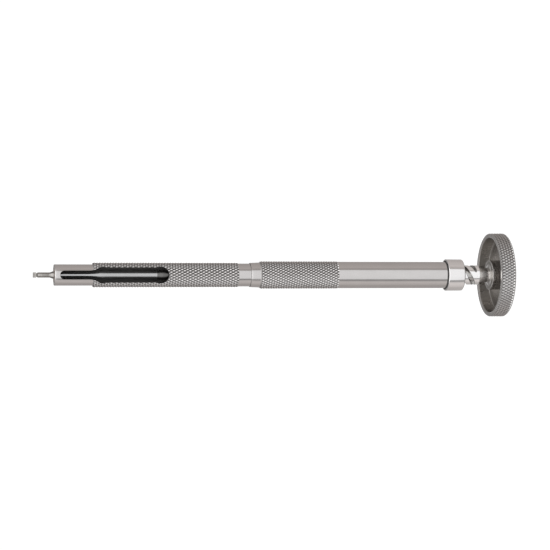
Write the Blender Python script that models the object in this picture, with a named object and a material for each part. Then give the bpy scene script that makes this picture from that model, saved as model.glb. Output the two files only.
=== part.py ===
"""A push-type watchmaker screwdriver, built piece by piece.

The tool stands on the flat rear face of its knob, with +Z along its axis
towards the blade. The window of the front sleeve faces -Y.

Pressing the knob drives the spiral rod forward through the nut in the end cap.
The nut cannot turn, so the rod does. A cross pin in the rod slides in the slots
of the drive tube and turns the tube, the spindle and the blade with it. The
return spring pushes the rod back out.
"""

import math

import bmesh
import bpy
from mathutils import Matrix, Vector

MM = 0.001

# ---------------------------------------------------------------- driving sizes
# Lengths are in millimetres. Heights are measured from the knob's rear face.

FIT = 0.05            # radial gap between two fixed pieces
RUN = 0.10            # radial gap of a running or sliding fit
SEGMENTS = 48         # facets round an outer piece
KNOB_SEGMENTS = 48    # facets round the knob
INNER_SEGMENTS = 30   # facets round an inner piece
ROD_SEGMENTS = 36     # facets round the spiral rod
SMALL_SEGMENTS = 16   # facets round a pin or a screw
RING_SPACING = 0.55   # height between the rings of a spiral

STROKE = 8.5          # how far the knob can be pushed in
LEAD = 9.6            # travel for one turn of the spiral
STARTS = 3            # grooves round the rod
SPIRAL_PHASE = 68.0   # degrees that the grooves have turned at the bottom

KNOB_R = 12.75
KNOB_HEIGHT = 4.65
RECESS_R = 11.2
RECESS_FLOOR_Z = 1.05
BOSS_R = 4.3
COLLAR_R = (3.2, 2.45)    # cone of the collar on the boss, base and top
COLLAR_TOP_Z = 4.98

STUB_R = 2.2
STUB_SEAT_Z = 2.65
ROD_R = 2.97
GROOVE_ROOT_R = 1.9
SPIRAL_Z = 8.4
GROOVE_START_Z = 9.4
GROOVE_RAMP = 0.45
GROOVE_FULL_END_Z = 22.6
ROD_PIN_Z = 25.2
ROD_PIN_R = 0.6
ROD_SHOULDER_Z = 26.5
ROD_TIP_Z = 28.0
SPIGOT_R = 1.8

CAP_R = 4.82
CAP_Z = (13.5, 18.8)
CAP_WALL = 1.5
NUT_FLANGE_Z = (15.05, 16.85)
NUT_END_Z = 22.4
LUG_START_Z = GROOVE_START_Z + GROOVE_RAMP + STROKE + 0.15

HANDLE_R = 4.03
HANDLE_KNURL_R = 4.13
HANDLE_BORE_R = 3.5
HANDLE_REAR_Z = 16.9
HANDLE_KNURL_Z = (52.7, 76.2)
NECK_R = (3.78, 3.66)     # the neck narrows a little towards the seam
NECK_Z = 76.7
SEAM_Z = 79.5
BORE_SHOULDER_Z = 56.1
SPIGOT_THREAD_R = 3.0
SPIGOT_END_Z = 84.5
FRONT_BORE_R = 2.5
FRONT_BORE_Z = 79.0

TUBE_R = 3.4
TUBE_BORE_R = ROD_R + RUN
TUBE_Z = (22.8, 49.5)
SLOT_END_Z = ROD_PIN_Z + STROKE + 1.2
TUBE_PIN_Z = 47.3
TUBE_PIN_R = 0.5

SPRING_Z = (26.6, 44.4)
SPRING_R = 2.4
SPRING_WIRE_R = 0.26
SPRING_TURNS = 11
SEAT_Z = (44.45, 44.95)

SPINDLE_REAR_Z = 45.0
SPINDLE_FLANGE_Z = (49.55, 50.55)
SPINDLE_R = 1.9
CLIP_GROOVE_Z = (85.15, 85.65)
SOCKET_Z = (92.4, 103.4)
SOCKET_R = 2.45
SOCKET_BORE_Z = 93.9
BEARING_Z = (51.0, 56.05)
BEARING_BORE_R = SPINDLE_R + RUN
FRONT_BUSH_FLANGE = 0.5

SLEEVE_REAR_R = 3.46
SLEEVE_KNURL_R = 3.67
SLEEVE_KNURL_Z = (83.15, 126.8)
NOSE_R = 3.15
NOSE_Z = 137.95
SLEEVE_BORE_R = 2.6
SLEEVE_THREAD_END_Z = 86.2
NOSE_WALL_Z = 136.5
NOSE_HOLE_R = 2.0

WINDOW_END_R = 2.5       # round ends of the wide window
WINDOW_HALF = 2.25       # half width between them
WINDOW_Z = (106.65, 123.8)
SLOT_HALF = 1.3          # half width of the narrow slot
SLOT_TIP_Z = 135.1
FLARE_R = 5.0

TANG_R = 1.4
TANG_REAR_Z = 94.1
TANG_END_Z = 106.0
BIT_BODY_R = 1.2
BIT_BODY_Z = (107.2, 124.5)
SHANK_R = 0.86
SHANK_Z = 128.9
GUIDE_R = 1.08           # land of the blade inside the nose bush
GUIDE_REAR_Z = 136.4
CONE_Z = (137.9, 139.45)
ROD_TIP_R = 0.76
NECK_TIP_Z = 142.8
BLADE_Z = (143.15, 144.1)
BLADE_HALF_WIDTH = 0.77
BLADE_HALF_THICKNESS = 0.18
SET_SCREW_Z = 97.9
SET_SCREW_R = 0.7
FLAT_R = 1.1


# ---------------------------------------------------------------- tools

def clear_scene():
    """Remove every object that the new file starts with."""
    for thing in list(bpy.data.objects):
        bpy.data.objects.remove(thing, do_unlink=True)


def make_material(name, colour, roughness, metallic=1.0):
    """A plain metal or plastic surface."""
    material = bpy.data.materials.new(name)
    material.use_nodes = True
    shader = material.node_tree.nodes["Principled BSDF"]
    shader.inputs["Base Color"].default_value = (*colour, 1.0)
    shader.inputs["Roughness"].default_value = roughness
    shader.inputs["Metallic"].default_value = metallic
    return material


def finish_mesh(name, mesh_data, material, smooth=True):
    """Turn a bmesh into an object in metres, with its material and shading."""
    bmesh.ops.recalc_face_normals(mesh_data, faces=mesh_data.faces)
    bmesh.ops.scale(mesh_data, vec=(MM, MM, MM), verts=mesh_data.verts)
    mesh = bpy.data.meshes.new(name)
    mesh_data.to_mesh(mesh)
    mesh_data.free()
    if smooth:
        mesh.shade_smooth()
        mesh.set_sharp_from_angle(angle=math.radians(30))
    piece = bpy.data.objects.new(name, mesh)
    bpy.context.collection.objects.link(piece)
    if material:
        mesh.materials.append(material)
    return piece


def turned(name, outline, material, segments=SEGMENTS):
    """Spin a closed (radius, height) outline round Z into one solid."""
    shape = bmesh.new()
    points = [shape.verts.new((radius, 0.0, height)) for radius, height in outline]
    edges = [shape.edges.new((points[i - 1], points[i])) for i in range(len(points))]
    bmesh.ops.spin(
        shape, geom=points + edges, cent=(0, 0, 0), axis=(0, 0, 1),
        angle=2 * math.pi, steps=segments, use_duplicate=False,
    )
    bmesh.ops.remove_doubles(shape, verts=shape.verts, dist=1e-4)
    return finish_mesh(name, shape, material)


def lofted(name, rings, material=None):
    """Join rings of equal length, in order, and close both ends."""
    shape = bmesh.new()
    made = [[shape.verts.new(point) for point in ring] for ring in rings]
    count = len(made[0])
    for lower, upper in zip(made, made[1:]):
        for i in range(count):
            j = (i + 1) % count
            shape.faces.new((lower[i], lower[j], upper[j], upper[i]))
    shape.faces.new(made[0])
    shape.faces.new(made[-1])
    return finish_mesh(name, shape, material)


def cross_cylinder(name, centre_z, radius, length, axis, material=None, start=0.0):
    """A cylinder lying along X or Y, either centred or starting at a distance."""
    shape = bmesh.new()
    turn = Matrix.Rotation(math.pi / 2, 4, "Y" if axis == "X" else "X")
    bmesh.ops.create_cone(
        shape, cap_ends=True, segments=SMALL_SEGMENTS,
        radius1=radius, radius2=radius, depth=length,
    )
    bmesh.ops.rotate(shape, verts=shape.verts, cent=(0, 0, 0), matrix=turn.to_3x3())
    offset = start + length / 2 if start else 0.0
    shift = (offset, 0, centre_z) if axis == "X" else (0, offset, centre_z)
    bmesh.ops.translate(shape, verts=shape.verts, vec=shift)
    return finish_mesh(name, shape, material)


def block(name, low, high):
    """A box between two corners."""
    shape = bmesh.new()
    low, high = Vector(low), Vector(high)
    bmesh.ops.create_cube(shape, size=1.0)
    bmesh.ops.scale(shape, vec=high - low, verts=shape.verts)
    bmesh.ops.translate(shape, vec=(low + high) / 2, verts=shape.verts)
    return finish_mesh(name, shape, None, smooth=False)


def cut(piece, cutter):
    """Take the cutter's shape out of a piece."""
    cutter.hide_render = True
    cutter.display_type = "WIRE"
    step = piece.modifiers.new("Cut " + cutter.name, "BOOLEAN")
    step.operation = "DIFFERENCE"
    step.solver = "EXACT"
    step.object = cutter


def arc(centre, radius, start, end, steps):
    """Points along an arc; the angles are in degrees, from the first axis."""
    points = []
    for k in range(steps + 1):
        angle = math.radians(start + (end - start) * k / steps)
        points.append((centre[0] + radius * math.cos(angle),
                       centre[1] + radius * math.sin(angle)))
    return points


def circle_ring(radius, height, turn=0.0, count=ROD_SEGMENTS):
    """A level ring of points."""
    return [
        (radius * math.cos(turn + 2 * math.pi * i / count),
         radius * math.sin(turn + 2 * math.pi * i / count), height)
        for i in range(count)
    ]


# ---------------------------------------------------------------- spiral

def spiral_turn(height):
    """How far the grooves have turned at a height, in radians."""
    return math.radians(SPIRAL_PHASE) + 2 * math.pi * height / LEAD


def groove_depth_at(height):
    """One along the full grooves, falling to zero where the cutter runs out."""
    rising = (height - GROOVE_START_Z) / GROOVE_RAMP
    falling = (GROOVE_FULL_END_Z + GROOVE_RAMP - height) / GROOVE_RAMP
    return max(0.0, min(1.0, rising, falling))


def grooved_ring(height):
    """A ring of the rod: land, flank, groove floor and flank, for each start."""
    per_start = ROD_SEGMENTS // STARTS
    half_floor = 2
    depth = (ROD_R - GROOVE_ROOT_R) * groove_depth_at(height)
    turn = spiral_turn(height)
    points = []
    for i in range(ROD_SEGMENTS):
        from_middle = (i + per_start // 2) % per_start - per_start // 2
        radius = ROD_R - depth if abs(from_middle) <= half_floor else ROD_R
        angle = turn + 2 * math.pi * i / ROD_SEGMENTS
        points.append((radius * math.cos(angle), radius * math.sin(angle), height))
    return points


def lug_ring(height):
    """A ring of the nut's bore, whose lugs run in the rod's grooves."""
    sector = 2 * math.pi / STARTS
    base, crest = math.radians(25.5), math.radians(16.0)
    land = [base + (sector / 2 - base) * k / 3 for k in range(4)]
    ridge = [crest * k / 2 for k in range(3)]
    angles = [-a for a in reversed(land[:-1])] + [-a for a in reversed(ridge[1:])]
    angles += ridge + land
    points = []
    turn = spiral_turn(height)
    for start in range(STARTS):
        for angle in angles:
            on_lug = abs(angle) <= crest + 1e-6
            radius = GROOVE_ROOT_R + RUN if on_lug else ROD_R + RUN
            total = turn + start * sector + angle
            points.append((radius * math.cos(total), radius * math.sin(total), height))
    return points


def steps_between(low, high, spacing):
    """Evenly spaced heights from low to high."""
    count = max(1, round((high - low) / spacing))
    return [low + (high - low) * k / count for k in range(count + 1)]


# ---------------------------------------------------------------- knob group

def make_knob(material):
    """Cup-shaped knob: flat rear, open front, a boss flush with the rim, a conical collar."""
    outline = [(2.2, 0.0), (KNOB_R - 0.35, 0.0), (KNOB_R, 0.35), (KNOB_R, KNOB_HEIGHT - 0.35)]
    outline += arc((KNOB_R - 0.35, KNOB_HEIGHT - 0.35), 0.35, 30, 90, 2)
    outline += arc((RECESS_R + 0.55, 4.1), 0.55, 90, 180, 3)
    outline += arc((RECESS_R - 0.35, RECESS_FLOOR_Z + 0.35), 0.35, 0, -90, 2)
    outline += arc((BOSS_R + 0.3, RECESS_FLOOR_Z + 0.3), 0.3, -90, -180, 2)
    outline += [
        (BOSS_R, KNOB_HEIGHT - 0.3), (BOSS_R - 0.3, KNOB_HEIGHT),
        (COLLAR_R[0], KNOB_HEIGHT), (COLLAR_R[1], COLLAR_TOP_Z), (STUB_R + FIT, COLLAR_TOP_Z),
        (STUB_R + FIT, STUB_SEAT_Z - FIT), (1.2, STUB_SEAT_Z - FIT),
        (1.2, 1.3), (2.2, 0.35),
    ]
    return turned("knob", outline, material, KNOB_SEGMENTS)


def make_knob_screw(material):
    """Countersunk screw that holds the knob on the rod from behind."""
    outline = [
        (0.0, 0.1), (2.1, 0.1), (2.1, 0.32), (1.12, 1.26), (1.12, 6.2),
        (0.9, 6.4), (0.0, 6.4),
    ]
    screw = turned("knob_screw", outline, material, SMALL_SEGMENTS)
    cut(screw, block("knob_screw_slot", (-3, -0.25, -1), (3, 0.25, 0.55)))
    return screw


def make_spiral_rod(material):
    """The rod: a plain stub, three spiral grooves, and a spigot for the spring."""
    hole_r, hole_end, bevel = 1.2, 6.6, 0.12
    turn = spiral_turn(SPIRAL_Z)
    plain = [
        (0.3, hole_end), (hole_r, hole_end), (hole_r, STUB_SEAT_Z), (STUB_R, STUB_SEAT_Z),
        (STUB_R, SPIRAL_Z), (ROD_R - bevel, SPIRAL_Z),
    ]
    rings = [circle_ring(radius, height, turn) for radius, height in plain]
    rings += [circle_ring(ROD_R, SPIRAL_Z + bevel, spiral_turn(SPIRAL_Z + bevel))]
    heights = steps_between(GROOVE_START_Z, GROOVE_START_Z + GROOVE_RAMP, 0.25)
    heights += steps_between(heights[-1], GROOVE_FULL_END_Z, RING_SPACING)[1:]
    heights += [GROOVE_FULL_END_Z + GROOVE_RAMP]
    rings += [grooved_ring(height) for height in heights]
    turn = spiral_turn(heights[-1])
    front = [
        (ROD_R, ROD_SHOULDER_Z - 0.2), (ROD_R - 0.2, ROD_SHOULDER_Z), (SPIGOT_R, ROD_SHOULDER_Z),
        (SPIGOT_R, ROD_TIP_Z - 0.3), (SPIGOT_R - 0.3, ROD_TIP_Z),
    ]
    rings += [circle_ring(radius, height, turn) for radius, height in front]
    rod = lofted("spiral_rod", rings, material)
    cut(rod, cross_cylinder("rod_pin_hole", ROD_PIN_Z, ROD_PIN_R + FIT, 9, "X"))
    return rod


def make_rod_pin(material):
    """Cross pin whose ends slide in the slots of the drive tube."""
    return cross_cylinder("rod_pin", ROD_PIN_Z, ROD_PIN_R, 6.4, "X", material)


# ---------------------------------------------------------------- spindle group

def make_drive_tube(material):
    """Slotted tube that the rod's cross pin turns."""
    rear, front = TUBE_Z
    outline = [(TUBE_BORE_R, rear), (TUBE_R, rear), (TUBE_R, front), (TUBE_BORE_R, front)]
    tube = turned("drive_tube", outline, material, INNER_SEGMENTS)
    slot_half = ROD_PIN_R + RUN
    cut(tube, block("tube_slots", (-6, -slot_half, rear - 2), (6, slot_half, SLOT_END_Z)))
    cut(tube, cross_cylinder("tube_pin_hole", TUBE_PIN_Z, TUBE_PIN_R + FIT, 9, "X"))
    return tube


def make_tube_pin(material):
    """Pin that fixes the drive tube on the spindle."""
    return cross_cylinder("tube_pin", TUBE_PIN_Z, TUBE_PIN_R, 2 * TUBE_R - 0.1, "X", material)


def make_spindle(material):
    """Long spindle: plug in the drive tube, flange, shaft and blade socket."""
    flange_rear, flange_front = SPINDLE_FLANGE_Z
    groove_rear, groove_front = CLIP_GROOVE_Z
    socket_rear, socket_front = SOCKET_Z
    plug_r = TUBE_BORE_R - FIT
    outline = [
        (0.0, SPINDLE_REAR_Z), (plug_r, SPINDLE_REAR_Z), (plug_r, flange_rear),
        (3.3, flange_rear), (3.3, flange_front), (SPINDLE_R, flange_front),
        (SPINDLE_R, groove_rear), (1.5, groove_rear), (1.5, groove_front),
        (SPINDLE_R, groove_front), (SPINDLE_R, socket_rear), (SOCKET_R, socket_rear + 0.55),
        (SOCKET_R, socket_front - 0.2), (SOCKET_R - 0.2, socket_front),
        (TANG_R + FIT, socket_front), (TANG_R + FIT, SOCKET_BORE_Z), (0.0, SOCKET_BORE_Z),
    ]
    spindle = turned("spindle", outline, material, INNER_SEGMENTS)
    cut(spindle, cross_cylinder("spindle_pin_hole", TUBE_PIN_Z, TUBE_PIN_R + FIT, 9, "X"))
    cut(spindle, cross_cylinder("set_screw_hole", SET_SCREW_Z, SET_SCREW_R + FIT, 3, "X", start=0.5))
    return spindle


def make_set_screw(material):
    """Grub screw that clamps the blade's tang in the socket."""
    length = SOCKET_R - 0.1 - FLAT_R - FIT
    screw = cross_cylinder("blade_set_screw", SET_SCREW_Z, SET_SCREW_R, length, "X",
                           material, start=FLAT_R + FIT)
    low = (SOCKET_R - 0.45, -1.5, SET_SCREW_Z - 0.12)
    high = (SOCKET_R + 0.5, 1.5, SET_SCREW_Z + 0.12)
    cut(screw, block("set_screw_slot", low, high))
    return screw


def make_spindle_clip(material):
    """Open spring clip in the spindle's groove, in front of the front bush."""
    rear, front = CLIP_GROOVE_Z
    rear, front = rear + 0.05, front - 0.05
    outline = [(1.55, rear), (2.7, rear), (2.7, front), (1.55, front)]
    clip = turned("spindle_clip", outline, material, SMALL_SEGMENTS)
    cut(clip, block("clip_opening", (-1.2, 0, rear - 1), (1.2, 4, front + 1)))
    return clip


def make_spring_seat(material):
    """Washer between the return spring and the spindle."""
    rear, front = SEAT_Z
    outline = [(1.0, rear), (2.8, rear), (2.8, front), (1.0, front)]
    return turned("spring_seat", outline, material, SMALL_SEGMENTS)


def make_return_spring(material):
    """Compression spring: a round wire swept along a helix."""
    rear, front = SPRING_Z
    rear, front = rear + SPRING_WIRE_R, front - SPRING_WIRE_R
    per_turn, sides = 10, 5
    count = SPRING_TURNS * per_turn
    rise = (front - rear) / (2 * math.pi * SPRING_TURNS)
    rings = []
    for k in range(count + 1):
        angle = 2 * math.pi * k / per_turn
        outward = Vector((math.cos(angle), math.sin(angle), 0))
        along = Vector((-math.sin(angle) * SPRING_R, math.cos(angle) * SPRING_R, rise)).normalized()
        across = along.cross(outward)
        centre = outward * SPRING_R + Vector((0, 0, rear + (front - rear) * k / count))
        rings.append([
            centre + SPRING_WIRE_R * (outward * math.cos(2 * math.pi * s / sides)
                                      + across * math.sin(2 * math.pi * s / sides))
            for s in range(sides)
        ])
    return lofted("return_spring", rings, material)


def blade_ring(half_width, half_thickness, height, squareness):
    """A ring between a circle (0) and a rectangle (1)."""
    power = 1.0 - 0.93 * squareness
    points = []
    for i in range(ROD_SEGMENTS):
        angle = 2 * math.pi * (i + 0.5) / ROD_SEGMENTS
        across, deep = math.cos(angle), math.sin(angle)
        points.append((
            half_width * math.copysign(abs(across) ** power, across),
            half_thickness * math.copysign(abs(deep) ** power, deep), height,
        ))
    return points


def make_blade_bit(material):
    """Stepped blade: tang, polished body, taper, shank, guide land, cone and flat tip."""
    body_rear, body_front = BIT_BODY_Z
    cone_rear, cone_front = CONE_Z
    blade_rear, blade_front = BLADE_Z
    steps = [
        (TANG_R - 0.2, TANG_REAR_Z), (TANG_R, TANG_REAR_Z + 0.2), (TANG_R, TANG_END_Z),
        (BIT_BODY_R, body_rear), (BIT_BODY_R, body_front),
        (SHANK_R, SHANK_Z), (SHANK_R, GUIDE_REAR_Z - 0.25), (GUIDE_R, GUIDE_REAR_Z),
        (GUIDE_R, cone_rear),
        (ROD_TIP_R, cone_front), (ROD_TIP_R, NECK_TIP_Z - 0.08),
    ]
    rings = [circle_ring(radius, height) for radius, height in steps]
    rings += [
        blade_ring(0.62, 0.5, NECK_TIP_Z + 0.06, 0.15),
        blade_ring(0.58, 0.3, (NECK_TIP_Z + blade_rear) / 2, 0.45),
        blade_ring(0.62, BLADE_HALF_THICKNESS + 0.02, blade_rear - 0.04, 0.85),
        blade_ring(BLADE_HALF_WIDTH, BLADE_HALF_THICKNESS + 0.01, blade_rear + 0.06, 1.0),
        blade_ring(BLADE_HALF_WIDTH, BLADE_HALF_THICKNESS, blade_front, 1.0),
    ]
    bit = lofted("blade_bit", rings, material)
    low = (FLAT_R, -2, SET_SCREW_Z - 1.2)
    high = (3, 2, SET_SCREW_Z + 1.2)
    cut(bit, block("tang_flat", low, high))
    return bit


# ---------------------------------------------------------------- handle group

def make_handle(material):
    """Tube with a long rear bore, a bearing shoulder and a threaded front end."""
    outline = [
        (HANDLE_BORE_R, HANDLE_REAR_Z), (HANDLE_R, HANDLE_REAR_Z),
        (HANDLE_R, HANDLE_KNURL_Z[0]), (HANDLE_KNURL_R, HANDLE_KNURL_Z[0] + 0.1),
        (HANDLE_KNURL_R, HANDLE_KNURL_Z[1]), (NECK_R[0], NECK_Z), (NECK_R[1], SEAM_Z),
        (SPIGOT_THREAD_R, SEAM_Z), (SPIGOT_THREAD_R, SPIGOT_END_Z - 0.3),
        (SPIGOT_THREAD_R - 0.2, SPIGOT_END_Z), (FRONT_BORE_R, SPIGOT_END_Z),
        (FRONT_BORE_R, FRONT_BORE_Z), (2.3, FRONT_BORE_Z), (2.3, BORE_SHOULDER_Z),
        (HANDLE_BORE_R, BORE_SHOULDER_Z),
    ]
    handle = turned("handle_body", outline, material)
    cut(handle, key_shape("handle_key_groove", FIT))
    return handle


def key_shape(name, grow, material=None):
    """Round key lying along Z, half in the nut and half in the handle wall."""
    radius, middle = 0.3, HANDLE_BORE_R + 0.02
    rear, front = HANDLE_REAR_Z, HANDLE_REAR_Z + 4.4
    if not grow:
        rear, front = rear + FIT, front - FIT
    else:
        rear -= 0.02
    shape = bmesh.new()
    bmesh.ops.create_cone(
        shape, cap_ends=True, segments=SMALL_SEGMENTS, depth=front - rear,
        radius1=radius + grow, radius2=radius + grow,
    )
    bmesh.ops.translate(shape, verts=shape.verts, vec=(0, middle, (front + rear) / 2))
    return finish_mesh(name, shape, material)


def make_drive_nut(material):
    """Nut whose three inner lugs run in the grooves of the rod."""
    rear, flange_front = NUT_FLANGE_Z
    barrel_r, inner_r, rear_bore_r = HANDLE_BORE_R - FIT, 1.5, ROD_R + 0.15
    outline = [
        (rear_bore_r, rear), (HANDLE_R - 0.1, rear), (HANDLE_R - 0.1, flange_front),
        (barrel_r, flange_front), (barrel_r, NUT_END_Z), (inner_r, NUT_END_Z),
        (inner_r, LUG_START_Z), (rear_bore_r, LUG_START_Z),
    ]
    nut = turned("drive_nut", outline, material, INNER_SEGMENTS)
    heights = steps_between(LUG_START_Z - 0.5, NUT_END_Z + 0.5, RING_SPACING)
    cut(nut, lofted("nut_spiral", [lug_ring(height) for height in heights], None))
    cut(nut, key_shape("nut_key_groove", FIT))
    return nut


def make_end_cap(material):
    """Cap screwed over the handle's rear end, holding the nut."""
    rear, front = CAP_Z
    hole_r = ROD_R + 0.12
    outline = [
        (hole_r, rear), (CAP_R - 0.35, rear), (CAP_R, rear + 0.3), (CAP_R, front - 0.3),
        (CAP_R - 0.35, front), (HANDLE_R + FIT, front), (HANDLE_R + FIT, rear + CAP_WALL),
        (hole_r, rear + CAP_WALL),
    ]
    return turned("end_cap", outline, material)


def make_rear_bearing(material):
    """Bronze bush in the handle, behind its shoulder."""
    rear, front = BEARING_Z
    outer_r = HANDLE_BORE_R - FIT
    outline = [
        (BEARING_BORE_R, rear), (outer_r, rear), (outer_r, front), (BEARING_BORE_R, front),
    ]
    return turned("rear_bearing", outline, material, INNER_SEGMENTS)


def make_thrust_washer(material):
    """Washer between the spindle's flange and the rear bearing."""
    rear, front = SPINDLE_FLANGE_Z[1] + 0.1, BEARING_Z[0] - 0.05
    outline = [
        (BEARING_BORE_R, rear), (3.3, rear), (3.3, front), (BEARING_BORE_R, front),
    ]
    return turned("thrust_washer", outline, material, INNER_SEGMENTS)


def make_front_bush(material):
    """Flanged bush in the front end of the handle."""
    rear = FRONT_BORE_Z + 0.1
    flange_rear = SPIGOT_END_Z + FIT
    flange_front = flange_rear + FRONT_BUSH_FLANGE
    outer_r = FRONT_BORE_R - FIT
    outline = [
        (BEARING_BORE_R, rear), (outer_r, rear), (outer_r, flange_rear),
        (2.95, flange_rear), (2.95, flange_front), (BEARING_BORE_R, flange_front),
    ]
    return turned("front_bush", outline, material, INNER_SEGMENTS)


def window_half_outline():
    """Half of the window's outline as (width, height), from rear to front."""
    rear_z, front_z = WINDOW_Z
    reach = math.degrees(math.acos(WINDOW_HALF / WINDOW_END_R))
    points = arc((0, rear_z), WINDOW_END_R, -90, reach, 12)
    flare_z = front_z + math.sqrt((WINDOW_END_R + FLARE_R) ** 2 - (SLOT_HALF + FLARE_R) ** 2)
    flare = (SLOT_HALF + FLARE_R, flare_z)
    slope = math.degrees(math.atan2(flare_z - front_z, flare[0]))
    points += arc((0, front_z), WINDOW_END_R, -reach, slope, 8)
    points += arc(flare, FLARE_R, 180 + slope, 180, 4)[1:]
    points += arc((0, SLOT_TIP_Z), SLOT_HALF, 0, 90, 8)
    return points


def make_window_cutter():
    """Prism through the -Y wall of the sleeve in the window's outline."""
    half = window_half_outline()
    outline = half + [(-width, height) for width, height in reversed(half[1:-1])]
    near, far = -6.0, -0.4
    shape = bmesh.new()
    face = shape.faces.new([shape.verts.new((x, near, z)) for x, z in outline])
    moved = bmesh.ops.extrude_face_region(shape, geom=[face])["geom"]
    verts = [item for item in moved if isinstance(item, bmesh.types.BMVert)]
    bmesh.ops.translate(shape, vec=(0, far - near, 0), verts=verts)
    return finish_mesh("window_cutter", shape, None, smooth=False)


def make_front_sleeve(material):
    """Sleeve screwed on the handle, with the keyhole window in one side."""
    knurl_rear, knurl_front = SLEEVE_KNURL_Z
    thread_r = SPIGOT_THREAD_R + FIT
    rear = SEAM_Z + FIT
    outline = [
        (thread_r, rear), (SLEEVE_REAR_R - 0.1, rear), (SLEEVE_REAR_R, rear + 0.1),
        (SLEEVE_REAR_R, knurl_rear), (SLEEVE_KNURL_R, knurl_rear + 0.15),
        (SLEEVE_KNURL_R, knurl_front - 0.3), (NOSE_R, knurl_front),
        (NOSE_R, NOSE_Z - 0.12), (NOSE_R - 0.12, NOSE_Z), (NOSE_HOLE_R, NOSE_Z),
        (NOSE_HOLE_R, NOSE_WALL_Z), (SLEEVE_BORE_R, NOSE_WALL_Z),
        (SLEEVE_BORE_R, SLEEVE_THREAD_END_Z), (thread_r, SLEEVE_THREAD_END_Z),
    ]
    sleeve = turned("front_sleeve", outline, material)
    cut(sleeve, make_window_cutter())
    return sleeve


def make_nose_bush(material):
    """Guide bush for the blade in the nose."""
    rear, front = NOSE_WALL_Z + 0.1, NOSE_Z - 0.1
    inner, outer = GUIDE_R + RUN, NOSE_HOLE_R - FIT
    outline = [(inner, rear), (outer, rear), (outer, front), (inner + 0.2, front), (inner, front - 0.2)]
    return turned("nose_bush", outline, material, INNER_SEGMENTS)


# ---------------------------------------------------------------- assembly

def body(name, pieces, parent=None):
    """Group the pieces of one moving body under an empty on the tool's axis."""
    empty = bpy.data.objects.new(name, None)
    bpy.context.collection.objects.link(empty)
    empty.parent = parent
    for piece in pieces:
        piece.parent = empty
    return empty


def main():
    clear_scene()
    satin = make_material("satin_steel", (0.50, 0.47, 0.45), 0.32)
    knurled = make_material("knurled_steel", (0.48, 0.45, 0.43), 0.38)
    cap_steel = make_material("cap_steel", (0.60, 0.57, 0.55), 0.25)
    knob_steel = make_material("knob_steel", (0.46, 0.43, 0.41), 0.36)
    spiral_steel = make_material("spiral_steel", (0.62, 0.59, 0.56), 0.18)
    polished = make_material("polished_steel", (0.55, 0.56, 0.58), 0.14)
    turned_steel = make_material("turned_steel", (0.45, 0.44, 0.43), 0.30)
    pin_steel = make_material("pin_steel", (0.40, 0.40, 0.41), 0.25)
    spring_steel = make_material("spring_steel", (0.36, 0.36, 0.38), 0.28)
    screw_steel = make_material("screw_steel", (0.34, 0.34, 0.36), 0.30)
    brass = make_material("nut_brass", (0.62, 0.46, 0.20), 0.30)
    bronze = make_material("bush_bronze", (0.52, 0.33, 0.17), 0.36)

    handle = body("handle", [
        make_handle(satin), make_end_cap(cap_steel), make_drive_nut(brass),
        key_shape("nut_key", 0.0, pin_steel), make_rear_bearing(bronze),
        make_thrust_washer(bronze), make_front_bush(bronze),
        make_front_sleeve(knurled), make_nose_bush(bronze),
    ])
    spindle = body("spindle_group", [
        make_drive_tube(turned_steel), make_tube_pin(pin_steel), make_spindle(turned_steel),
        make_set_screw(screw_steel), make_spindle_clip(spring_steel),
        make_spring_seat(turned_steel), make_return_spring(spring_steel),
        make_blade_bit(polished),
    ], handle)
    body("knob_group", [
        make_knob(knob_steel), make_knob_screw(screw_steel),
        make_spiral_rod(spiral_steel), make_rod_pin(pin_steel),
    ], spindle)


main()
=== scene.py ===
"""The looks of the push-type watchmaker screwdriver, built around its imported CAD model.

The tool stands on its knob, +Z towards the blade. The tool's lengths are in
millimetres and become metres when a mesh is made; the studio's are in metres.
The ends and outer radii of the pieces come from the CAD nodes' boxes, and each
piece's function names its inner steps.
"""

import math

import bmesh
import bpy
from mathutils import Matrix, Vector


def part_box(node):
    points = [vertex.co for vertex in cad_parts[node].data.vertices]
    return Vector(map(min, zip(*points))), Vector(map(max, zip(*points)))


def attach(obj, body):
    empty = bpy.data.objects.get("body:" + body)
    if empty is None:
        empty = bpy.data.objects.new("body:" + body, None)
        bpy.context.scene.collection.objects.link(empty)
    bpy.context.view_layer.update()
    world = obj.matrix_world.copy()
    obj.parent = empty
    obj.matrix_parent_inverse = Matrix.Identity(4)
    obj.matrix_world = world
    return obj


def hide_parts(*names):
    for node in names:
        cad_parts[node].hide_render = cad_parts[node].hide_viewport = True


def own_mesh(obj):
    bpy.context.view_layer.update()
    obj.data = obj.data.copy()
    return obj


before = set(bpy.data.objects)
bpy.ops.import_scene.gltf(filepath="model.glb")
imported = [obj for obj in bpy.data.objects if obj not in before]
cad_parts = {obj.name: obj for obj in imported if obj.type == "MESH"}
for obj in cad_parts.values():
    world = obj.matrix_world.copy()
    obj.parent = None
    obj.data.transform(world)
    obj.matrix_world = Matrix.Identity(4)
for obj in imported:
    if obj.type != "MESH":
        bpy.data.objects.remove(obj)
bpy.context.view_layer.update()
MM = 0.001


# ---------------------------------------------------------------- frame

def span(node):
    """(lowest height, highest height, radius) of a round CAD node, in millimetres."""
    low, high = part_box(node)
    return low.z / MM, high.z / MM, high.x / MM


SLEEVE_REAR, NOSE_END, SLEEVE_R = span("front_sleeve")
HANDLE_REAR, SPIGOT_END, HANDLE_KNURL_R = span("handle_body")
CAP_REAR, CAP_FRONT, CAP_R = span("end_cap")
KNOB_REAR, KNOB_FRONT, KNOB_R = span("knob")
ROD_REAR, ROD_FRONT, ROD_R = span("spiral_rod")
BIT_REAR, BIT_FRONT, _ = span("blade_bit")
SPINDLE_REAR, SOCKET_FRONT, SPINDLE_FLANGE_R = span("spindle")
SPRING_REAR, SPRING_FRONT, SPRING_OUTER_R = span("return_spring")

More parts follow.
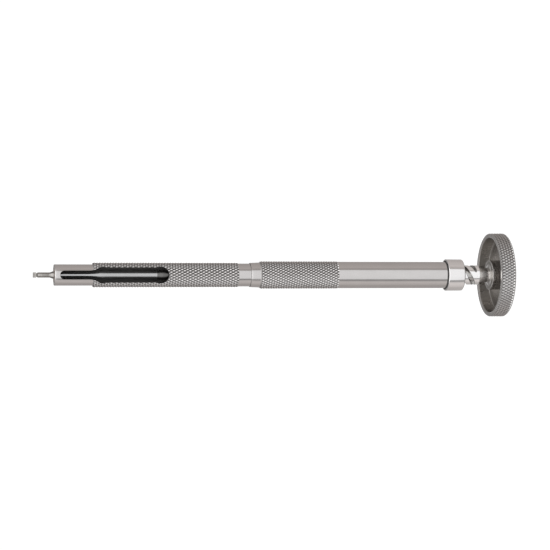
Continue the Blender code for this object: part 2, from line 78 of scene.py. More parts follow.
SEAM = SLEEVE_REAR - 0.05          # end of the handle's neck, just short of the sleeve

SLEEVE_STARTS, SLEEVE_KNURL_DEPTH = 24, 0.35    # grooves round the piece, and their depth
HANDLE_STARTS, HANDLE_KNURL_DEPTH = 29, 0.31
KNOB_STARTS, KNOB_KNURL_DEPTH = 87, 0.26
KNURL_POINTS = 6                   # columns for each groove of the sleeve and the handle
KNOB_KNURL_POINTS = 4              # columns for each groove of the knob

LEAD = 9.6                         # travel for one turn of the spiral
STARTS = 3                         # grooves round the rod
SPIRAL_PHASE = 68.0                # degrees that the grooves have turned at the bottom
GROOVE_ROOT_R = 1.9
GROOVE_LOW, GROOVE_HIGH = 9.35, 23.0
GROOVE_RUN_OUT = 0.8               # length over which a groove narrows to nothing


# ---------------------------------------------------------------- meshes

def new_piece(name, body, material, verts, faces, sharp=32.0, second=None):
    """Make a shaded mesh object from points in millimetres and let it ride on a body.

    second is (finish, test) for the faces that take another finish: the test gets
    the centre of a face in millimetres.
    """
    mesh = bpy.data.meshes.new(name)
    mesh.from_pydata([(x * MM, y * MM, z * MM) for x, y, z in verts], [], faces)
    mesh.materials.append(material)
    if second:
        finish, test = second
        mesh.materials.append(finish)
        for face in mesh.polygons:
            if test(face.center / MM):
                face.material_index = 1
    mesh.shade_smooth()
    mesh.set_sharp_from_angle(angle=math.radians(sharp))
    piece = bpy.data.objects.new(name, mesh)
    bpy.context.scene.collection.objects.link(piece)
    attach(piece, body)
    return piece


def off_axis(point):
    """Distance of a point from the tool's axis."""
    return math.hypot(point.x, point.y)


def ring(radius, height, count, turn=0.0):
    """A level circle of points."""
    step = 2 * math.pi / count
    return [(radius * math.cos(turn + step * i), radius * math.sin(turn + step * i), height)
            for i in range(count)]


def skin_rings(rings, closed):
    """Points and faces that join rings of equal length, as a loop or with fan ends."""
    count = len(rings[0])
    verts = [point for one in rings for point in one]
    faces = []
    pairs = list(zip(range(len(rings) - 1), range(1, len(rings))))
    if closed:
        pairs.append((len(rings) - 1, 0))
    for a, b in pairs:
        for i in range(count):
            j = (i + 1) % count
            faces.append((a * count + i, a * count + j, b * count + j, b * count + i))
    if not closed:
        for which, flip in ((0, True), (len(rings) - 1, False)):
            middle = len(verts)
            edge = rings[which]
            verts.append(tuple(sum(p[k] for p in edge) / count for k in range(3)))
            for i in range(count):
                j = (i + 1) % count
                a, b = which * count + i, which * count + j
                faces.append((middle, b, a) if flip else (middle, a, b))
    return verts, faces


def soften_crests(mesh, low, high, radius, depth):
    """Shade a knurl's crests smoothly and keep only the bottoms of its grooves sharp."""
    deep = (radius - 0.8 * depth) * MM
    outer = (radius - 1.2 * depth) * MM
    for edge in mesh.edges:
        ends = [mesh.vertices[i].co for i in edge.vertices]
        radii = [off_axis(point) for point in ends]
        knurled = all(low * MM < point.z < high * MM for point in ends)
        if knurled and min(radii) > outer and max(radii) > deep:
            edge.use_edge_sharp = False


def outward(piece):
    """Make a piece's faces point out."""
    shape = bmesh.new()
    shape.from_mesh(piece.data)
    bmesh.ops.recalc_face_normals(shape, faces=shape.faces)
    shape.to_mesh(piece.data)
    shape.free()


def rounded(outline, size, steps=3):
    """Round the corners of an outline that carry a factor: (radius, height, factor).

    A round reaches size times its factor along both sides, or less on a short side.
    """
    points = []
    count = len(outline)
    for i, corner in enumerate(outline):
        here = Vector(corner[:2])
        if len(corner) < 3:
            points.append(tuple(here))
            continue
        before = Vector(outline[i - 1][:2]) - here
        after = Vector(outline[(i + 1) % count][:2]) - here
        reach = min(size * corner[2], 0.45 * before.length, 0.45 * after.length)
        start = here + before.normalized() * reach
        end = here + after.normalized() * reach
        for k in range(steps + 1):
            t = k / steps
            point = start * (1 - t) ** 2 + here * 2 * t * (1 - t) + end * t ** 2
            points.append(tuple(point))
    return points


def arc(centre, radius, start, end, steps):
    """Points along an arc, with angles in degrees from the first axis."""
    made = []
    for k in range(steps + 1):
        angle = math.radians(start + (end - start) * k / steps)
        made.append((centre[0] + radius * math.cos(angle), centre[1] + radius * math.sin(angle)))
    return made


def knurl_rows(radius, low, high, starts, pitch_up, pitch_down, depth, per_pitch, flat=0.93):
    """Rings of a diamond knurl: two families of V grooves that wind opposite ways.

    starts is the number of grooves in each family. A pitch is the distance along the
    axis from one groove of its family to the next, per_pitch is the number of columns
    for each groove, and flat cuts the crests off a little.
    """
    crossing = 1 / (1 / pitch_up + 1 / pitch_down)
    row_step = 2 * crossing / per_pitch
    rows = max(4, round((high - low) / row_step))
    columns = starts * per_pitch
    rings = []
    for j in range(rows + 1):
        height = low + (high - low) * j / rows
        along = j * row_step
        one = []
        for i in range(columns):
            first = (i + j) / per_pitch
            second = (i - j) / per_pitch
            slope_a = 1 - abs(2 * (first % 1.0) - 1)
            slope_b = 1 - abs(2 * (second % 1.0) - 1)
            crest = min(slope_a, slope_b, flat) / flat
            angle = 2 * math.pi / starts * (first - along / pitch_up)
            r = radius - depth * (1 - crest)
            one.append((r * math.cos(angle), r * math.sin(angle), height))
        rings.append(one)
    return rings


def knurl_faces(count, row, step, per_pitch):
    """Faces between a ring and the next, step rings into a knurl.

    Quads with a groove of the first family are split along it.
    """
    faces = []
    for i in range(count):
        k = (i + 1) % count
        a, b = row * count + i, row * count + k
        c, d = (row + 1) * count + k, (row + 1) * count + i
        middle = ((i + step + 1) / per_pitch) % 1.0
        if abs(middle - round(middle)) < 0.5 / per_pitch:
            faces += [(a, b, d), (b, c, d)]
        elif i % per_pitch in (0, per_pitch // 2):
            faces += [(a, b, c), (a, c, d)]
        else:
            faces.append((a, b, c, d))
    return faces


def knurled_solid(stretches):
    """Points and faces of a closed turned solid with knurled stretches.

    Each stretch is ("plain", rings) or ("knurl", rings, per_pitch). All rings
    have the same number of points, and the last joins the first.
    """
    rings = []
    knurled = {}
    for kind, made, *per_pitch in stretches:
        if kind == "knurl":
            for step in range(len(made) - 1):
                knurled[len(rings) + step] = (step, per_pitch[0])
        rings += made
    count = len(rings[0])
    verts = [point for one in rings for point in one]
    faces = []
    for a in range(len(rings)):
        if a in knurled:
            faces += knurl_faces(count, a, *knurled[a])
            continue
        b = (a + 1) % len(rings)
        shift = nearest_shift(rings[a], rings[b])
        for i in range(count):
            j = (i + 1) % count
            faces.append((a * count + i, a * count + j,
                          b * count + (j + shift) % count, b * count + (i + shift) % count))
    return verts, faces


def nearest_shift(lower, upper):
    """How many places to shift the upper ring so that its points sit above the lower's."""
    count = len(lower)
    angle = math.atan2(lower[0][1], lower[0][0]) - math.atan2(upper[0][1], upper[0][0])
    return round(angle / (2 * math.pi / count)) % count


def turned_stretches(rear, knurl, front, columns, per_pitch):
    """Points and faces of a turned solid: an outline, a knurl and another outline."""
    return knurled_solid([
        ("plain", [ring(r, z, columns) for r, z in rear]),
        ("knurl", knurl, per_pitch),
        ("plain", [ring(r, z, columns) for r, z in front]),
    ])


def cut_with(piece, cutter):
    """Take a shape out of a piece for good, and delete the cutter."""
    step = piece.modifiers.new("cut", "BOOLEAN")
    step.operation = "DIFFERENCE"
    step.solver = "EXACT"
    step.object = cutter
    bpy.context.view_layer.update()
    graph = bpy.context.evaluated_depsgraph_get()
    made = bpy.data.meshes.new_from_object(piece.evaluated_get(graph))
    piece.modifiers.remove(step)
    old, piece.data = piece.data, made
    bpy.data.meshes.remove(old)
    bpy.data.objects.remove(cutter)


# ---------------------------------------------------------------- materials

MARK_DEPTH = 0.00002      # metres that the bumps of the lathe marks and the grain stand for


def node_graph(name, base, roughness, metallic=1.0):
    """A new material, its node tree and its Principled shader."""
    material = bpy.data.materials.new(name)
    material.use_nodes = True
    tree = material.node_tree
    shader = tree.nodes["Principled BSDF"]
    shader.inputs["Base Color"].default_value = (*base, 1.0)
    shader.inputs["Roughness"].default_value = roughness
    shader.inputs["Metallic"].default_value = metallic
    return material, tree, shader


def add_noise(tree, scale, stretch, detail=3.0):
    """Noise in object space, stretched by a scale on each axis."""
    place = tree.nodes.new("ShaderNodeTexCoord")
    mapping = tree.nodes.new("ShaderNodeMapping")
    mapping.inputs["Scale"].default_value = stretch
    noise = tree.nodes.new("ShaderNodeTexNoise")
    noise.inputs["Scale"].default_value = scale
    noise.inputs["Detail"].default_value = detail
    tree.links.new(place.outputs["Object"], mapping.inputs["Vector"])
    tree.links.new(mapping.outputs["Vector"], noise.inputs["Vector"])
    return noise.outputs["Fac"]


def remap(tree, value, low, high, new_low, new_high):
    """Map a value from one range to another."""
    node = tree.nodes.new("ShaderNodeMapRange")
    node.inputs["From Min"].default_value = low
    node.inputs["From Max"].default_value = high
    node.inputs["To Min"].default_value = new_low
    node.inputs["To Max"].default_value = new_high
    tree.links.new(value, node.inputs["Value"])
    return node.outputs["Result"]


def mix_colours(tree, factor, first, second):
    """Blend two colours by a factor socket."""
    node = tree.nodes.new("ShaderNodeMix")
    node.data_type = "RGBA"
    node.inputs["A"].default_value = (*first, 1.0)
    node.inputs["B"].default_value = (*second, 1.0)
    tree.links.new(factor, node.inputs["Factor"])
    return node.outputs["Result"]


def radius_factor(tree, low, high):
    """Zero at the bottom of a knurl's grooves, one at its crests."""
    place = tree.nodes.new("ShaderNodeTexCoord")
    flat = tree.nodes.new("ShaderNodeVectorMath")
    flat.operation = "MULTIPLY"
    flat.inputs[1].default_value = (1.0, 1.0, 0.0)
    tree.links.new(place.outputs["Object"], flat.inputs[0])
    length = tree.nodes.new("ShaderNodeVectorMath")
    length.operation = "LENGTH"
    tree.links.new(flat.outputs["Vector"], length.inputs[0])
    return remap(tree, length.outputs["Value"], low * MM, high * MM, 0.0, 1.0)


def turned_metal(name, base, roughness, marks, spread, tint, grain, grooves=None, metallic=1.0):
    """Metal with lathe marks round the axis, cloudy gloss, dull stains and fine grain.

    marks and grain are bump strengths, spread is how far the gloss strays, and tint
    how dark the stains are. With grooves (lowest radius, crest radius, shade), painted
    shade darkens the bottoms of a knurl's grooves.
    """
    material, tree, shader = node_graph(name, base, roughness, metallic)
    cloud = add_noise(tree, 900.0, (1.0, 1.0, 0.35), 4.0)
    rings = add_noise(tree, 1.0, (250.0, 250.0, 14000.0), 2.0)
    rough = remap(tree, cloud, 0.3, 0.7, roughness - spread, roughness + spread)
    tree.links.new(rough, shader.inputs["Roughness"])
    dull = tuple(channel * (1 - tint) for channel in base)
    stain = add_noise(tree, 260.0, (1.0, 1.0, 0.6), 5.0)
    shade = remap(tree, stain, 0.35, 0.75, 0.0, 1.0)
    colour = mix_colours(tree, shade, base, dull)
    # Painted shade: the colour darkens towards the bottoms of the knurl's grooves.
    if grooves:
        low, high, groove_shade = grooves
        height = radius_factor(tree, low, high)
        deep = tree.nodes.new("ShaderNodeMix")
        deep.data_type = "RGBA"
        deep.inputs["A"].default_value = tuple(channel * groove_shade for channel in base) + (1.0,)
        tree.links.new(colour, deep.inputs["B"])
        tree.links.new(height, deep.inputs["Factor"])
        colour = deep.outputs["Result"]
    tree.links.new(colour, shader.inputs["Base Color"])
    bump = tree.nodes.new("ShaderNodeBump")
    bump.inputs["Strength"].default_value = marks
    bump.inputs["Distance"].default_value = MARK_DEPTH
    tree.links.new(rings, bump.inputs["Height"])
    pits = add_noise(tree, 9000.0, (1.0, 1.0, 1.0), 2.0)
    pitted = tree.nodes.new("ShaderNodeBump")
    pitted.inputs["Strength"].default_value = grain
    pitted.inputs["Distance"].default_value = MARK_DEPTH
    tree.links.new(pits, pitted.inputs["Height"])
    tree.links.new(bump.outputs["Normal"], pitted.inputs["Normal"])
    tree.links.new(pitted.outputs["Normal"], shader.inputs["Normal"])
    return material


def make_materials():
    """Every finish on the tool: name, colour, roughness, marks, spread, tint and grain."""
    # Each knurl's (lowest radius, crest radius, darkness) of the painted shade in its grooves.
    sleeve = (SLEEVE_R - SLEEVE_KNURL_DEPTH, SLEEVE_R - 0.08, 0.12)
    grip = (HANDLE_KNURL_R - HANDLE_KNURL_DEPTH, HANDLE_KNURL_R - 0.08, 0.12)
    rim = (KNOB_R - KNOB_KNURL_DEPTH, KNOB_R - 0.05, 0.20)
    metal = turned_metal
    return {
        "satin": metal("satin_nickel", (0.655, 0.637, 0.632), 0.13, 0.10, 0.03, 0.06, 0.06),
        "knurl": metal("knurled_nickel", (0.74, 0.72, 0.715), 0.15, 0.05, 0.05, 0.12, 0.08, sleeve),
        "grip": metal("knurled_grip", (0.74, 0.72, 0.715), 0.15, 0.05, 0.05, 0.12, 0.08, grip),
        "cap": metal("bright_cap", (0.88, 0.865, 0.865), 0.10, 0.10, 0.03, 0.04, 0.04),
        "knob": metal("knob_nickel", (0.66, 0.64, 0.63), 0.22, 0.10, 0.05, 0.10, 0.10),
        "rim": metal("knurled_rim", (0.78, 0.765, 0.76), 0.20, 0.05, 0.05, 0.12, 0.08, rim),
        # Darker finish on the knob's recess, its boss face and the sleeve's front face: painted shade.
        "dish": metal("knob_dish_painted_shade", (0.41, 0.39, 0.37), 0.30, 0.25, 0.05, 0.12, 0.10),
        "spiral": metal("spiral_steel", (0.95, 0.94, 0.94), 0.10, 0.08, 0.03, 0.06, 0.03),
        "groove": metal("spiral_groove", (0.54, 0.53, 0.52), 0.24, 0.08, 0.05, 0.14, 0.05),
        "stub": metal("rod_stub", (0.74, 0.72, 0.70), 0.26, 0.15, 0.03, 0.06, 0.03),
        "bit": metal("polished_bit", (0.50, 0.505, 0.51), 0.24, 0.06, 0.03, 0.05, 0.02),
        # Near-black finish for the tang, where the window's rear end lies in shade: painted shade.
        "tang": metal("tang_painted_shade", (0.15, 0.148, 0.145), 0.32, 0.12, 0.05, 0.10, 0.05),
        "tip": metal("blade_steel", (0.34, 0.325, 0.31), 0.28, 0.10, 0.05, 0.10, 0.08),
        # Near-black finish on the bore, the window's walls and the gap at the cap's front edge: painted
        # shade.
        "bore": metal("bore_painted_shade", (0.125, 0.122, 0.12), 0.50, 0.30, 0.08, 0.2, 0.1, None, 0.0),
        "turned": metal("turned_steel", (0.42, 0.41, 0.40), 0.28, 0.25, 0.06, 0.10, 0.05),
        "pin": metal("ground_pin", (0.50, 0.50, 0.51), 0.22, 0.10, 0.05, 0.08, 0.04),
        "spring": metal("spring_wire", (0.36, 0.36, 0.38), 0.26, 0.05, 0.06, 0.12, 0.06),
        "screw": metal("screw_steel", (0.33, 0.34, 0.37), 0.24, 0.12, 0.06, 0.12, 0.05),
        "brass": metal("turned_brass", (0.76, 0.56, 0.26), 0.26, 0.25, 0.06, 0.12, 0.05),
        "bronze": metal("bearing_bronze", (0.60, 0.38, 0.22), 0.34, 0.20, 0.08, 0.16, 0.15),
    }


# ---------------------------------------------------------------- outer pieces

def window_outline():
    """Half of the window as (width, height): round ends, a flare and a narrow slot."""
    rear, front, end_r, half = 106.65, 123.8, 2.5, 2.25
    slot_half, slot_tip, flare_r = 1.3, 135.1, 5.0
    reach = math.degrees(math.acos(half / end_r))
    points = arc((0, rear), end_r, -90, reach, 24)
    flare_z = front + math.sqrt((end_r + flare_r) ** 2 - (slot_half + flare_r) ** 2)
    slope = math.degrees(math.atan2(flare_z - front, slot_half + flare_r))
    points += arc((0, front), end_r, -reach, slope, 12)
    points += arc((slot_half + flare_r, flare_z), flare_r, 180 + slope, 180, 10)[1:]
    points += arc((0, slot_tip), slot_half, 0, 90, 14)
    return points


def window_cutter():
    """Prism in the window's outline, through the -Y wall only."""
    half = window_outline()
    outline = half + [(-width, height) for width, height in reversed(half[1:-1])]
    near, far = -6.0, -0.4          # from outside the sleeve to just short of its axis
    count = len(outline)
    verts = [(x, near, z) for x, z in outline] + [(x, far, z) for x, z in outline]
    faces = [tuple(range(count)), tuple(reversed(range(count, 2 * count)))]
    for i in range(count):
        j = (i + 1) % count
        faces.append((i, i + count, j + count, j))
    mesh = bpy.data.meshes.new("window")
    mesh.from_pydata([(x * MM, y * MM, z * MM) for x, y, z in verts], [], faces)
    cutter = bpy.data.objects.new("window", mesh)
    bpy.context.scene.collection.objects.link(cutter)
    outward(cutter)
    return cutter


def make_sleeve(finish):
    """Front sleeve: wider rear bore, knurl, plain nose and the keyhole window."""
    knurl_low, knurl_high, pitch = 83.25, 126.6, 1.62
    rear_r, nose_r, bore_r, thread_r = 3.46, 3.15, 2.6, 3.05
    wall, thread_end, hole_r = 136.5, 86.2, 2.0
    knurl = knurl_rows(SLEEVE_R, knurl_low, knurl_high, SLEEVE_STARTS, pitch, pitch,
                       SLEEVE_KNURL_DEPTH, KNURL_POINTS)
    rear = rounded([
        (thread_r, SLEEVE_REAR), (rear_r, SLEEVE_REAR, 0.5), (rear_r, knurl_low - 0.02),
    ], 0.1)
    nose = rounded([
        (nose_r + 0.08, knurl_high + 0.02), (nose_r, knurl_high + 0.14), (nose_r, NOSE_END, 1.0),
        (hole_r, NOSE_END, 0.6), (hole_r, wall), (bore_r, wall), (bore_r, thread_end),
        (thread_r, thread_end),
    ], 0.14)
    verts, faces = turned_stretches(rear, knurl, nose, SLEEVE_STARTS * KNURL_POINTS, KNURL_POINTS)
    sleeve = new_piece("sleeve", "handle", finish["knurl"], verts, faces, 24.0)
    outward(sleeve)
    cut_with(sleeve, window_cutter())
    mesh = sleeve.data
    mesh.materials.clear()
    for key in ("knurl", "bore", "satin", "dish"):
        mesh.materials.append(finish[key])
    for face in mesh.polygons:
        centre, normal = face.center / MM, face.normal
        in_bore = off_axis(centre) < bore_r + 0.06 and centre.z < wall + 0.02
        in_front_half = centre.y < -1 and abs(centre.x) < 2.55
        on_window_wall = in_front_half and abs(normal.y) < 0.02 and 104 < centre.z < 136.4
        face.material_index = 0
        # Painted shade: the bore and the window's walls take the near-black bore finish.
        if in_bore or on_window_wall:
            face.material_index = 1
        # Painted shade: the nose's front face takes the darker dish finish.
        elif centre.z > NOSE_END - 0.06 and normal.z > 0.8:
            face.material_index = 3
        elif centre.z > knurl_high or centre.z < knurl_low:
            face.material_index = 2
    mesh.set_sharp_from_angle(angle=math.radians(24))
    soften_crests(mesh, knurl_low, knurl_high, SLEEVE_R, SLEEVE_KNURL_DEPTH)
    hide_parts("front_sleeve")


def make_handle(finish):
    """Handle: long plain grip, knurled grip, cone and neck down to the seam."""
    plain_r, neck_rear_r, neck_r, spigot_r = 4.03, 3.78, 3.66, 3.0
    knurl_low, knurl_high, cone_end = 52.8, 76.4, 76.7
    pitch_up, pitch_down = 1.30, 1.9
    bore_r, shaft_hole_r, shoulder, front_bore_r, front_bore = 3.5, 2.3, 56.1, 2.5, 79.0
    groove_r, groove_low, groove_high = 3.76, 18.35, 19.0
    knurl = knurl_rows(HANDLE_KNURL_R, knurl_low, knurl_high, HANDLE_STARTS, pitch_up, pitch_down,
                       HANDLE_KNURL_DEPTH, KNURL_POINTS)
    rear = rounded([
        (bore_r, HANDLE_REAR), (plain_r, HANDLE_REAR, 1.0), (plain_r, groove_low - 0.02),
        (groove_r, groove_low), (groove_r, groove_high), (plain_r, groove_high + 0.02),
        (plain_r, knurl_low - 0.02),
    ], 0.12)
    front = rounded([
        (HANDLE_KNURL_R - 0.15, knurl_high + 0.02), (neck_rear_r + 0.01, cone_end - 0.03),
        (neck_rear_r, cone_end), (neck_rear_r - 0.001, cone_end + 0.02), (neck_r, SEAM, 0.5),
        (spigot_r, SEAM), (spigot_r, SPIGOT_END, 1.0), (front_bore_r, SPIGOT_END),
        (front_bore_r, front_bore), (shaft_hole_r, front_bore), (shaft_hole_r, shoulder),
        (bore_r, shoulder),
    ], 0.1)
    verts, faces = turned_stretches(rear, knurl, front, HANDLE_STARTS * KNURL_POINTS, KNURL_POINTS)

    def on_knurl(centre):
        return knurl_low < centre.z < knurl_high and off_axis(centre) > plain_r - 0.3

    handle = new_piece("handle_grip", "handle", finish["satin"], verts, faces, 24.0,
                       (finish["grip"], on_knurl))
    outward(handle)
    soften_crests(handle.data, knurl_low, knurl_high, HANDLE_KNURL_R, HANDLE_KNURL_DEPTH)
    # Painted shade: the handle's groove under the cap's front edge takes the near-black bore finish.
    handle.data.materials.append(finish["bore"])
    for face in handle.data.polygons:
        centre = face.center / MM
        if groove_low - 0.1 < centre.z < groove_high + 0.1 and 3.6 < off_axis(centre) < plain_r - 0.05:
            face.material_index = 2
    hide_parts("handle_body")


def make_cap(finish):
    """End cap with rounded edges over the handle's rear end, and a gap round the handle painted dark as
    shade.
    """
    hole_r, counterbore_r, gap_r, gap_depth, wall = 3.09, 4.08, 4.3, 0.8, 1.5
    front = CAP_FRONT - 0.13
    outline = rounded([
        (hole_r, CAP_REAR, 0.8), (CAP_R, CAP_REAR, 1.6), (CAP_R, front, 0.8),
        (gap_r, front), (gap_r, front - gap_depth), (counterbore_r, front - gap_depth),
        (counterbore_r, CAP_REAR + wall), (hole_r, CAP_REAR + wall),
    ], 0.25, 4)

    # Painted shade: the faces in the gap round the handle take the near-black bore finish.
    def in_gap(centre):
        return centre.z > 16 and off_axis(centre) < gap_r + 0.01

    verts, faces = skin_rings([ring(r, z, 144) for r, z in outline], True)
    cap = new_piece("cap", "handle", finish["cap"], verts, faces, 28.0,
                    (finish["bore"], in_gap))
    outward(cap)
    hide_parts("end_cap")


def make_knob(finish):
    """Cup-shaped knob with a knurled rim, and a boss with a small collar round the rod."""
    recess_r, floor_z, rim_z = 11.35, 1.05, 4.65
    boss_r, boss_z, stub_r, screw_r, head_r = 4.5, 4.78, 2.25, 1.2, 2.2
    knurl_low, knurl_high, pitch = 0.42, 4.55, 1.65
    knurl = knurl_rows(KNOB_R, knurl_low, knurl_high, KNOB_STARTS, pitch, pitch,
                       KNOB_KNURL_DEPTH, KNOB_KNURL_POINTS)
    rim = rounded([
        (head_r, KNOB_REAR), (KNOB_R - 0.35, KNOB_REAR, 1.0), (KNOB_R - 0.14, 0.40),
    ], 0.2)
    cup = [(KNOB_R - 0.12, rim_z - 0.06), (KNOB_R - 0.2, rim_z)]
    cup += arc((recess_r + 0.4, rim_z - 0.4), 0.4, 90, 180, 6)
    cup += arc((recess_r - 0.35, floor_z + 0.35), 0.35, 0, -90, 5)
    cup += arc((boss_r + 0.3, floor_z + 0.3), 0.3, -90, -180, 5)
    cup += rounded([
        (boss_r, 2.5), (boss_r, boss_z, 1.0), (3.2, boss_z, 0.3), (2.5, KNOB_FRONT, 0.5),
        (stub_r, KNOB_FRONT), (stub_r, 2.6), (screw_r, 2.6), (screw_r, 1.3), (head_r, 0.35),
    ], 0.25, 3)
    columns = KNOB_STARTS * KNOB_KNURL_POINTS
    verts, faces = turned_stretches(rim, knurl, cup, columns, KNOB_KNURL_POINTS)
    knob = new_piece("knob_cup", "knob_group", finish["knob"], verts, faces, 26.0)
    outward(knob)
    soften_crests(knob.data, knurl_low, knurl_high, KNOB_R, KNOB_KNURL_DEPTH)
    knob.data.materials.append(finish["dish"])
    knob.data.materials.append(finish["rim"])
    # Painted shade: the recess walls and floor and the boss face take the darker dish finish; the boss
    # test also catches a ring on the rear face.
    for face in knob.data.polygons:
        height, radius = face.center.z / MM, off_axis(face.center) / MM
        in_cup = 0.9 < height < 4.58 and boss_r < radius < recess_r + 0.16
        on_boss = 3.3 < radius < boss_r - 0.2
        if in_cup or on_boss:
            face.material_index = 1
        elif 0.4 < height < 4.56 and radius > KNOB_R - 0.4:
            face.material_index = 2
    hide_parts("knob")


# ---------------------------------------------------------------- spiral rod

def spiral_turn(height):
    """How far the grooves have turned at a height, in radians."""
    return math.radians(SPIRAL_PHASE) + 2 * math.pi * height / LEAD


def groove_width_at(height):
    """One along the full groove, narrowing to zero in a half circle at its ends."""
    inside = min(height - GROOVE_LOW, GROOVE_HIGH - height)
    if inside <= 0:
        return 0.0
    if inside >= GROOVE_RUN_OUT:
        return 1.0
    return math.sqrt(1 - (1 - inside / GROOVE_RUN_OUT) ** 2)


def grooved_ring(height):
    """A ring with a groove for each start: flat floor, steep walls and softened edges."""
    steps = 5
    width = groove_width_at(height)
    wall, floor = math.radians(29.5), math.radians(22.0)
    sector = 2 * math.pi / STARTS
    half = [(floor * width * k / steps, GROOVE_ROOT_R) for k in range(steps + 1)]
    half.append(((floor + wall) / 2 * width, (GROOVE_ROOT_R * 1.15 + ROD_R) / 2.15))
    half.append(((wall - 0.03) * width, ROD_R - 0.09))
    half.append((wall * width + 0.012, ROD_R - 0.015))
    land = wall * width + 0.05
    half += [(land + (sector / 2 - land) * k / steps, ROD_R) for k in range(steps + 1)]
    profile = [(-angle, r) for angle, r in reversed(half[1:-1])] + half
    points = []
    for start in range(STARTS):
        for angle, r in profile:
            total = spiral_turn(height) + start * sector + angle
            radius = r if width > 0 else ROD_R
            points.append((radius * math.cos(total), radius * math.sin(total), height))
    return points


def spiral_heights():
    """Heights of the spiral's rings, close together where the grooves run out."""
    spacing, rear_run, front_run = 0.22, 0.8, 0.9
    heights = [GROOVE_LOW - 0.02]
    heights += [GROOVE_LOW + 0.005 + rear_run * (k / 8) ** 2 for k in range(9)]
    full = GROOVE_HIGH - front_run - heights[-1]
    steps = round(full / spacing)
    heights += [heights[-1] + full / steps * (k + 1) for k in range(steps)]
    heights += [GROOVE_HIGH - front_run * ((7 - k) / 8) ** 2 for k in range(7)]
    return heights + [GROOVE_HIGH + 0.02]


def make_rod(finish):
    """Rod: rear hole for the knob's screw, plain stub, spiral with rounded run-outs, spigot."""
    stub_r, spiral_z, hole_r, hole_end = 2.2, 8.4, 1.2, 6.6
    shoulder_z, spigot_r = 26.5, 1.8
    spiral = [grooved_ring(height) for height in spiral_heights()]
    rear = [
        (0.3, hole_end), (hole_r, hole_end), (hole_r, ROD_REAR), (stub_r - 0.15, ROD_REAR),
        (stub_r, ROD_REAR + 0.15), (stub_r, spiral_z), (ROD_R - 0.06, spiral_z), (ROD_R, spiral_z + 0.06),
    ]
    front = [
        (ROD_R, shoulder_z - 0.25), (ROD_R - 0.2, shoulder_z), (spigot_r, shoulder_z),
        (spigot_r, ROD_FRONT - 0.3), (spigot_r - 0.3, ROD_FRONT),
    ]
    rings = [evened(spiral[0], r, z) for r, z in rear]
    rings += spiral
    rings += [evened(spiral[-1], r, z) for r, z in front]
    verts, faces = skin_rings(rings, False)
    rod = new_piece("spiral_shaft", "knob_group", finish["spiral"], verts, faces, 30.0)
    outward(rod)
    rod.data.materials.append(finish["groove"])
    rod.data.materials.append(finish["stub"])
    for face in rod.data.polygons:
        centre = face.center / MM
        if centre.z < spiral_z + 0.02:
            face.material_index = 2
        elif off_axis(centre) < ROD_R - 0.05:
            face.material_index = 1
    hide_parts("spiral_rod")


def evened(model, radius, height):
    """A ring at a radius and height whose points lie at the model ring's angles."""
    made = []
    for x, y, _ in model:
        angle = math.atan2(y, x)
        made.append((radius * math.cos(angle), radius * math.sin(angle), height))
    return made


# ---------------------------------------------------------------- blade and spindle

def blade_ring(half_width, half_thickness, height, squareness, count):
    """A ring between an ellipse (0) and a rectangle (1)."""
    power = 1.0 - 0.95 * squareness
    points = []
    for i in range(count):
        angle = 2 * math.pi * (i + 0.5) / count
        across, deep = math.cos(angle), math.sin(angle)
        points.append((half_width * math.copysign(abs(across) ** power, across),
                       half_thickness * math.copysign(abs(deep) ** power, deep), height))
    return points


def make_bit(finish):
    """Stepped blade: tang, polished body, taper, shank, guide land, cone, thin rod and flat tip."""
    count = 96
    tang_r, tang_end = 1.4, 106.0
    body_r, body_rear, body_front = 1.2, 107.2, 124.5
    shank_r, shank_z = 0.86, 128.9
    guide_r, guide_rear, guide_front = 1.08, 136.4, 137.9
    cone_rear, cone_front, tip_r, tip_end = 138.35, 139.1, 0.76, 142.6
    outline = [
        (tang_r - 0.2, BIT_REAR), (tang_r, BIT_REAR + 0.2), (tang_r, tang_end - 0.2),
        (tang_r - 0.02, tang_end), (body_r + 0.02, body_rear), (body_r, body_rear + 0.3),
        (body_r, body_front - 0.6), (body_r - 0.02, body_front), (shank_r + 0.02, shank_z),
        (shank_r, shank_z + 0.6), (shank_r, guide_rear - 0.25), (guide_r, guide_rear),
        (guide_r, guide_front), (guide_r - 0.01, cone_rear), (tip_r + 0.02, cone_front),
        (tip_r + 0.005, cone_front + 0.05), (tip_r, cone_front + 0.5), (tip_r, tip_end),
        (tip_r - 0.03, tip_end + 0.12),
    ]
    flattening = [
        (0.60, 0.50, 142.86, 0.1), (0.55, 0.34, 142.98, 0.3), (0.56, 0.24, 143.08, 0.6),
        (0.62, 0.20, 143.14, 0.85), (0.76, 0.19, 143.2, 1.0), (0.77, 0.18, 143.26, 1.0),
        (0.77, 0.17, BIT_FRONT - 0.03, 1.0), (0.75, 0.15, BIT_FRONT, 1.0),
    ]
    rings = [ring(r, z, count, math.pi / count) for r, z in outline]
    rings += [blade_ring(*section, count) for section in flattening]
    verts, faces = skin_rings(rings, False)
    bit = new_piece("blade", "spindle_group", finish["bit"], verts, faces, 26.0,
                    (finish["tip"], lambda centre: centre.z > guide_front))
    outward(bit)
    # Painted shade: the tang and the body's rear step take the near-black tang finish.
    bit.data.materials.append(finish["tang"])
    for face in bit.data.polygons:
        if face.center.z / MM < body_rear + 0.2:
            face.material_index = 2
    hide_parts("blade_bit")


